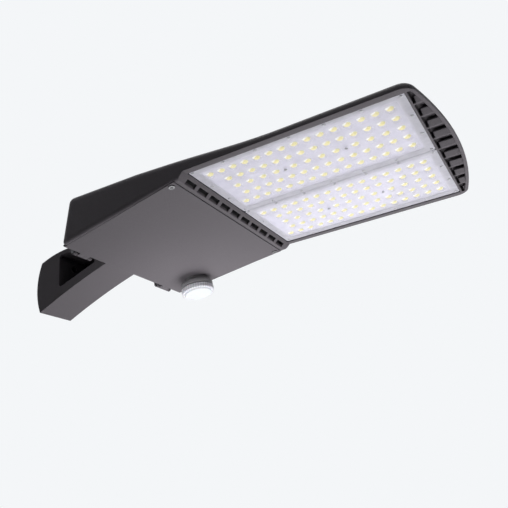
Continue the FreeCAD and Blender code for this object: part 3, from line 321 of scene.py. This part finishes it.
def lens_core(name, dark, light):
    """What a lens shows enlarged, with a painted glow: the yellow LED, or a painted white highlight
    beside it.
    """
    look = Look(name, Specular_IOR_Level=0.1, Emission_Strength=PAINTED_GLOW)
    mottle = look.noise(scale=260)
    look.colour(mottle, dark, light).see_through(look.span(mottle, low=0.75, high=0.95))
    look.drive("Emission Color", look.ramp(mottle, dark, light))
    return look.roughness(look.noise(scale=800), low=0.4, high=0.6).material


def plain(name, dark, light, rough, scale=MOULD_GRAIN, **constants):
    """A moulded or coated surface: a slight mottle, uneven gloss and a fine grain."""
    look = Look(name, **constants)
    grain = look.noise(scale)
    look.colour(grain, dark, light)
    look.roughness(look.noise(scale / 4), rough - GLOSS_SPREAD, rough + GLOSS_SPREAD)
    return look.soft_edges(MOULD_EDGE).bump(grain, MOULD_BUMP, MOULD_HEIGHT).material


def fluted_plastic(name, dark, light, rough, hub, flutes):
    """Moulded plastic, a little darker in the flutes round its hub, which are in the solid."""
    half_flute = 0.5 / flutes
    look = Look(name, Subsurface_Weight=0.05)
    shift = look.node("ShaderNodeMapping")
    shift.inputs["Location"].default_value = -hub
    turn = look.node("ShaderNodeTexGradient", gradient_type="RADIAL")
    flute = look.node("ShaderNodeMath", operation="PINGPONG")
    flute.inputs[1].default_value = half_flute
    look.link(look.place(), shift.inputs["Vector"])
    look.link(shift.outputs["Vector"], turn.inputs["Vector"])
    look.link(turn.outputs["Fac"], flute.inputs[0])
    wave = look.span(flute.outputs[0], 0.0, 1.0, 0.0, half_flute)
    look.drive("Base Color", look.ramp(wave, dark, light, start=0.2, stop=0.8))
    look.roughness(look.noise(scale=200), rough - GLOSS_SPREAD, rough + GLOSS_SPREAD)
    grain = look.noise(MOULD_GRAIN)
    return look.soft_edges(MOULD_EDGE).bump(grain, MOULD_BUMP, MOULD_HEIGHT).material


def metal(name, dark, light, rough, stretch=(1, 1, 14)):
    """Bare metal with fine drawn or turned lines."""
    look = Look(name, Metallic=1.0)
    lines = look.noise(500, 2, stretch)
    look.colour(lines, dark, light)
    look.roughness(lines, rough - METAL_GLOSS_SPREAD, rough + METAL_GLOSS_SPREAD)
    return look.soft_edges(0.2 * MM).bump(lines, strength=0.15, height=0.03 * MM).material


def board_mask():
    """White solder mask with faint copper runs under it."""
    look = Look("board_mask", Roughness=0.6, Specular_IOR_Level=0.2)
    runs = look.node("ShaderNodeTexBrick", offset=0.37)
    settings = {
        "Scale": 46.0, "Mortar Size": 0.05, "Mortar Smooth": 0.4,
        "Color1": (0.76, 0.75, 0.85, 1), "Color2": (0.73, 0.72, 0.82, 1),
        "Mortar": (0.67, 0.66, 0.75, 1),
    }
    for socket, value in settings.items():
        runs.inputs[socket].default_value = value
    look.link(look.place(), runs.inputs["Vector"])
    look.drive("Base Color", runs.outputs["Color"])
    return look.bump(runs.outputs["Fac"], strength=0.1, height=0.03 * MM).material


def looked_at(tree):
    """1 for the rays that show the backdrop: from the camera, off gloss or through glass."""
    rays = tree.nodes.new("ShaderNodeLightPath")
    seen = rays.outputs["Is Camera Ray"]
    for other in ("Is Glossy Ray", "Is Transmission Ray"):
        either = tree.nodes.new("ShaderNodeMath")
        either.operation = "MAXIMUM"
        tree.links.new(seen, either.inputs[0])
        tree.links.new(rays.outputs[other], either.inputs[1])
        seen = either.outputs[0]
    return seen


def floor_paper():
    """Pale paper that glows for what looks at it, and so fades into the backdrop."""
    look = Look("floor_paper", Emission_Color=(*BACKDROP, 1))
    grain = look.noise(scale=40)
    look.colour(grain, (0.78, 0.79, 0.80), (0.82, 0.83, 0.84))
    look.roughness(grain, low=0.75, high=0.85)
    away = look.node("ShaderNodeVectorMath", operation="LENGTH")
    look.link(look.place(), away.inputs[0])
    rise = look.span(away.outputs["Value"], FLOOR_GLOW, FLOOR_RIM_GLOW,
                     FLOOR_NEAR, FLOOR_SIDE / 2)
    glow = look.node("ShaderNodeMath", operation="MULTIPLY")
    look.link(rise, glow.inputs[0])
    look.link(looked_at(look.tree), glow.inputs[1])
    return look.drive("Emission Strength", glow.outputs[0]).material


# The casting's coats carry painted shade in their slots; the door's coat has none
coat = powder_coat("powder_coat")
housing_coat = powder_coat("housing_coat", cast_corners=True)
door_coat = powder_coat("door_coat", with_slot_shade=False)

# The flat of the lens plate, its ground border that hides the seal, and the skin of a lens
lens = clear_plastic("clear_sheet", (0.80, 0.79, 0.88), (0.86, 0.85, 0.94), specular=0.03,
                     haze_scale=60, cover=(0.5, 0.65), gloss_scale=500, gloss=(0.3, 0.5))
rim = clear_plastic("frosted_rim", (0.66, 0.65, 0.72), (0.72, 0.71, 0.78), specular=0.12,
                    haze_scale=90, cover=(0.75, 0.85), gloss_scale=500, gloss=(0.3, 0.45))
dome = clear_plastic("lens_dome", (0.90, 0.90, 0.93), (0.95, 0.95, 0.96), specular=0.5,
                     haze_scale=300, cover=(0.08, 0.16), gloss_scale=800, gloss=(0.05, 0.14))
# Painted into each lens with a painted glow: the enlarged yellow LED
core = lens_core("lens_core", (0.65, 0.59, 0.30), (0.69, 0.65, 0.39))
# A painted highlight with a painted glow, beside the enlarged LED in each lens
painted_glint = lens_core("lens_painted_glint", (0.74, 0.74, 0.76), (0.80, 0.80, 0.82))

# The rest: name, darkest and lightest colour, and middle roughness
board = board_mask()
phosphor = plain("led_phosphor", (0.84, 0.72, 0.27), (0.90, 0.80, 0.36), 0.35, scale=900)
package = plain("led_package", (0.82, 0.82, 0.83), (0.88, 0.88, 0.88), 0.4)
rubber = plain("seal_rubber", (0.016, 0.016, 0.016), (0.026, 0.026, 0.026), 0.7)
silicone = plain("pale_silicone", (0.63, 0.62, 0.68), (0.69, 0.68, 0.74), 0.6)
stainless = metal("stainless", (0.50, 0.50, 0.51), (0.66, 0.66, 0.67), 0.42)
zinc_flake = plain("zinc_flake", (0.70, 0.70, 0.74), (0.80, 0.80, 0.84), 0.5)
dull_steel = metal("dull_steel", (0.14, 0.14, 0.145), (0.22, 0.22, 0.225), 0.5)
black_steel = metal("black_steel", (0.07, 0.07, 0.075), (0.11, 0.11, 0.115), 0.55)
sheet = metal("plain_sheet", (0.60, 0.61, 0.62), (0.72, 0.73, 0.74), 0.42, stretch=(1, 20, 1))
sensor_grey = plain("sensor_grey", (0.19, 0.185, 0.195), (0.22, 0.215, 0.225), 0.5)
sensor_white = fluted_plastic("sensor_white", (0.60, 0.59, 0.65), (0.78, 0.77, 0.82), 0.4,
                              SENSOR_HUB, SENSOR_FLUTES)
sensor_window = plain("sensor_window", (0.74, 0.74, 0.77), (0.79, 0.79, 0.82), 0.45,
                      Subsurface_Weight=0.1, Specular_IOR_Level=0.1)
driver_case = plain("driver_case", (0.55, 0.55, 0.56), (0.62, 0.62, 0.63), 0.45)
dark_case = plain("dark_case", (0.03, 0.03, 0.034), (0.045, 0.045, 0.05), 0.5)
ivory = plain("ivory_block", (0.74, 0.70, 0.60), (0.80, 0.77, 0.67), 0.45)

SLOT_LOOKS = {
    "bronze_coat": coat, "clear_lens": lens, "led_phosphor": phosphor, "board_mask": board,
    "seal_rubber": rubber, "pale_silicone": silicone, "stainless": stainless,
    "sensor_grey": sensor_grey, "sensor_white": sensor_white, "sensor_window": sensor_window,
    "plain_sheet": sheet, "driver_case": driver_case, "dark_case": dark_case,
    "ivory_block": ivory,
}
NODE_LOOKS = {
    "housing": housing_coat, "driver_door": door_coat,
    "hinge_pins": black_steel, "door_screws": dull_steel, "lens_screws": zinc_flake,
}

# The looks of a lens sheet and of an LED array, in the order of their material slots
SHEET_LOOKS = [lens, dome, rim, core, painted_glint]
SHEET_DOME, SHEET_RIM, SHEET_CORE, SHEET_GLINT = range(1, len(SHEET_LOOKS))
ARRAY_LOOKS = [package, phosphor]
ARRAY_PHOSPHOR = 1


def dress_nodes():
    """Every CAD node takes its own look, or that of its material slot."""
    for subpart in frame["record"]["subparts"]:
        materials = NODES[subpart["node"]].data.materials
        materials.clear()
        materials.append(NODE_LOOKS.get(subpart["node"], SLOT_LOOKS[subpart["material_slot"]]))


# Pieces


def feet(node, reach):
    """Middles of a node's separate solids, from the corners on their lowest plane."""
    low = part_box(node)[0].z
    groups = []
    for vertex in NODES[node].data.vertices:
        if vertex.co.z - low > LEVEL:
            continue
        for group in groups:
            if (group[0] - vertex.co).length < reach:
                group.append(vertex.co.copy())
                break
        else:
            groups.append([vertex.co.copy()])
    return [middle(group) for group in groups]


def lathe(bm, profile, place, turns, material=0):
    """A turned form about the vertical through a place, whose profile is (radius, height) points."""
    rings = []
    for radius, height in profile:
        if radius == 0:
            rings.append([bm.verts.new(place + Vector((0, 0, height)))])
            continue
        angles = [2 * math.pi * turn / turns for turn in range(turns)]
        spots = [Vector((radius * math.cos(a), radius * math.sin(a), height)) for a in angles]
        rings.append([bm.verts.new(place + spot) for spot in spots])
    for lower, upper in zip(rings, rings[1:]):
        for turn in range(turns):
            after = (turn + 1) % turns
            corners = [lower[turn % len(lower)], lower[after % len(lower)],
                       upper[after % len(upper)], upper[turn % len(upper)]]
            face = bm.faces.new(list(dict.fromkeys(corners)))
            face.smooth = True
            face.material_index = material
    return rings[0]


def loop_edges(bm, ring):
    """The edges along a closed ring of corners."""
    pairs = zip(ring, ring[1:] + ring[:1])
    return [bm.edges.get(pair) for pair in pairs]


def bridge(bm, lower, upper, material=0):
    """A band of faces between two closed rings with as many corners."""
    for number in range(len(lower)):
        after = (number + 1) % len(lower)
        face = bm.faces.new((lower[number], lower[after], upper[after], upper[number]))
        face.material_index = material


def round_plate(bm, low, high, corner, bevel):
    """A flat plate with round corners and softened rims, whose open lower rim is handed back."""
    right, left = high.x - corner, low.x + corner
    back, front = high.y - corner, low.y + corner
    outline = []
    for quarter, (x, y) in enumerate(((right, back), (left, back), (left, front), (right, front))):
        for step in range(CORNER_STEPS + 1):
            turn = math.pi / 2 * (quarter + step / CORNER_STEPS)
            outline.append((x, y, math.cos(turn), math.sin(turn)))
    levels = [(low.z, corner - bevel), (low.z + bevel, corner),
              (high.z - bevel, corner), (high.z, corner - bevel)]
    rings = [[bm.verts.new((x + radius * c, y + radius * s, z)) for x, y, c, s in outline]
             for z, radius in levels]
    for lower, upper in zip(rings, rings[1:]):
        bridge(bm, lower, upper)
    bm.faces.new(rings[-1])
    return rings[0]


def inner_loop(bm, ring, inset, rise, material):
    """Goes on from an open rim: a flat border drawn in from it, and a small step up to the field."""
    box_middle = middle([vertex.co for vertex in ring])
    border = []
    field = []
    for vertex in ring:
        reach = vertex.co - box_middle
        inward = Vector((math.copysign(inset, reach.x), math.copysign(inset, reach.y), 0))
        border.append(bm.verts.new(vertex.co - inward))
        field.append(bm.verts.new(vertex.co - inward + Vector((0, 0, rise))))
    bridge(bm, ring, border, material)
    bridge(bm, border, field, material)
    return field


def make_piece(name, bm, materials, node):
    """Turns a mesh into a piece that stands for a CAD node of the fixture."""
    bmesh.ops.recalc_face_normals(bm, faces=bm.faces)
    mesh = bpy.data.meshes.new(name)
    bm.to_mesh(mesh)
    bm.free()
    for material in materials:
        mesh.materials.append(material)
    piece = bpy.data.objects.new(name, mesh)
    bpy.context.scene.collection.objects.link(piece)
    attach(piece, "fixture")
    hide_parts(node)


def crown(radius, depth, rings, top=0.0):
    """Profile of a dome that hangs from a rim, down to its lowest point."""
    turns = [math.pi / 2 * ring / rings for ring in range(rings)]
    arc = [(radius * math.cos(turn), top - depth * math.sin(turn)) for turn in turns]
    return [*arc, (0, top - depth)]


def core_profile(radius, depth):
    """Profile of a small crown inside a lens, flat above."""
    return [(0, CORE_TOP), *crown(radius, depth, DOME_RINGS, CORE_TOP)]


def lens_module(side):
    """The clear plate of a module, with what its lenses show, and the LEDs behind it."""
    low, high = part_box(f"lens_plate_{side}")
    face = high.z - PLATE
    lip = face - PLATE_STEP
    spots = feet(f"leds_{side}", LED_REACH)
    skin = [(FOOT_RADIUS, 0), *crown(DOME_RADIUS, DOME_HEIGHT, DOME_RINGS)]
    # Each lens holds a core painted as the enlarged LED and a glint painted as its highlight
    patches = (
        (core_profile(CORE_RADIUS, CORE_DEPTH), CORE_PLACE, SHEET_CORE),
        (core_profile(GLINT_RADIUS, GLINT_DEPTH), GLINT_PLACE, SHEET_GLINT),
    )
    bm = bmesh.new()
    outer = round_plate(bm, Vector((low.x, low.y, lip)), high, PLATE_CORNER, PLATE_BEVEL)
    rings = [inner_loop(bm, outer, PLATE_RIM, PLATE_STEP, SHEET_RIM)]
    for spot in spots:
        foot = Vector((spot.x, spot.y, face))
        rings.append(lathe(bm, skin, foot, DOME_TURNS, SHEET_DOME))
        for profile, offset, material in patches:
            lathe(bm, profile, foot + offset, SMALL_TURNS, material)
    edges = [edge for ring in rings for edge in loop_edges(bm, ring)]
    bmesh.ops.triangle_fill(bm, use_beauty=True, edges=edges)
    make_piece(f"lens_sheet_{side}", bm, SHEET_LOOKS, f"lens_plate_{side}")
    led_array(side, spots)


def led_array(side, spots):
    """White packages with a round phosphor cap on each."""
    low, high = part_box(f"leds_{side}")
    cap = high.z - low.z - PACKAGE_HEIGHT
    half = Vector((PACKAGE_HALF, PACKAGE_HALF, 0))
    profile = [(0, PHOSPHOR_SINK), (PHOSPHOR_RADIUS, PHOSPHOR_SINK),
               *crown(PHOSPHOR_RADIUS, cap, PHOSPHOR_RINGS)]
    bm = bmesh.new()
    for spot in spots:
        seat = Vector((spot.x, spot.y, high.z))
        under = seat - Vector((0, 0, PACKAGE_HEIGHT))
        bm.faces.new(round_plate(bm, under - half, seat + half, PACKAGE_CORNER, PACKAGE_BEVEL))
        lathe(bm, profile, under, SMALL_TURNS, ARRAY_PHOSPHOR)
    make_piece(f"led_array_{side}", bm, ARRAY_LOOKS, f"leds_{side}")


def lens_screws():
    """Pan heads with a round socket, on plain shanks."""
    low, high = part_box("lens_screws")
    seat = low.z + SCREW_HEAD_HEIGHT
    socket = SCREW_SOCKET_DEPTH - SCREW_HEAD_HEIGHT
    rounding = [(SCREW_HEAD * across, -SCREW_HEAD_HEIGHT * down)
                for across, down in (SCREW_CROWN, SCREW_SHOULDER)]
    profile = [
        (0, socket), (SCREW_SOCKET, socket), (SCREW_SOCKET, -SCREW_HEAD_HEIGHT), *rounding,
        (SCREW_HEAD, 0), (SCREW_SHANK, 0), (SCREW_SHANK, high.z - seat), (0, high.z - seat),
    ]
    bm = bmesh.new()
    for spot in feet("lens_screws", SCREW_REACH):
        lathe(bm, profile, Vector((spot.x, spot.y, seat)), SMALL_TURNS)
    make_piece("lens_screw_set", bm, [zinc_flake], "lens_screws")


# Stage, light and camera

# Name, place, target, side of the square in metres, watts, and spread in degrees
LAMPS = (
    ("key_below", (0.50, 0.25, -0.98), (0.45, 0, 0), 1.6, 15.8, 130),
    ("sensor_snoot", (0.25, -0.60, -0.72), SENSOR_HUB, 0.2, 0.08, 16),
    ("fill_top", (0.3, 0.3, 1.6), (0.4, 0, 0), 1.6, 5, 100),
)


def stage():
    """A square floor far below the light."""
    bm = bmesh.new()
    bmesh.ops.create_grid(bm, x_segments=1, y_segments=1, size=FLOOR_SIDE / 2)
    mesh = bpy.data.meshes.new("floor")
    bm.to_mesh(mesh)
    bm.free()
    mesh.materials.append(floor_paper())
    floor = bpy.data.objects.new("floor", mesh)
    floor.location = FLOOR_CENTRE
    bpy.context.scene.collection.objects.link(floor)


def soft_box(name, place, target, side, watts, spread):
    """A square lamp that points at a target and isn't seen itself."""
    lamp = bpy.data.lights.new(name, "AREA")
    lamp.shape = "SQUARE"
    lamp.size = side
    lamp.energy = watts
    lamp.spread = math.radians(spread)
    item = bpy.data.objects.new(name, lamp)
    turn = (Vector(target) - Vector(place)).to_track_quat("-Z", "Y").to_matrix()
    item.matrix_world = Matrix.Translation(place) @ turn.to_4x4()
    item.visible_camera = False
    bpy.context.scene.collection.objects.link(item)


def world():
    """A pale backdrop for what looks at it, and a dim even light for the rest."""
    sky = bpy.data.worlds.new("studio")
    sky.use_nodes = True
    tree = sky.node_tree
    dim = tree.nodes["Background"]
    dim.inputs["Color"].default_value = (1, 1, 1, 1)
    dim.inputs["Strength"].default_value = SOFT_LIGHT
    pale = tree.nodes.new("ShaderNodeBackground")
    pale.inputs["Color"].default_value = (*BACKDROP, 1)
    mix = tree.nodes.new("ShaderNodeMixShader")
    tree.links.new(looked_at(tree), mix.inputs[0])
    tree.links.new(dim.outputs[0], mix.inputs[1])
    tree.links.new(pale.outputs[0], mix.inputs[2])
    tree.links.new(mix.outputs[0], tree.nodes["World Output"].inputs["Surface"])
    bpy.context.scene.world = sky


def camera():
    """The photo's camera."""
    data = bpy.data.cameras.new("camera")
    data.lens = CAMERA_LENS
    data.sensor_width = CAMERA_SENSOR
    data.clip_start = CAMERA_NEAR
    item = bpy.data.objects.new("camera", data)
    back = -CAMERA_FORWARD
    turn = Matrix((CAMERA_RIGHT, back.cross(CAMERA_RIGHT), back)).transposed()
    item.matrix_world = Matrix.Translation(CAMERA_PLACE) @ turn.to_4x4()
    bpy.context.scene.collection.objects.link(item)
    bpy.context.scene.camera = item


dress_nodes()
for side in SIDES:
    lens_module(side)
lens_screws()
stage()
for lamp in LAMPS:
    soft_box(*lamp)
world()
camera()
bpy.context.scene.view_settings.view_transform = "Standard"
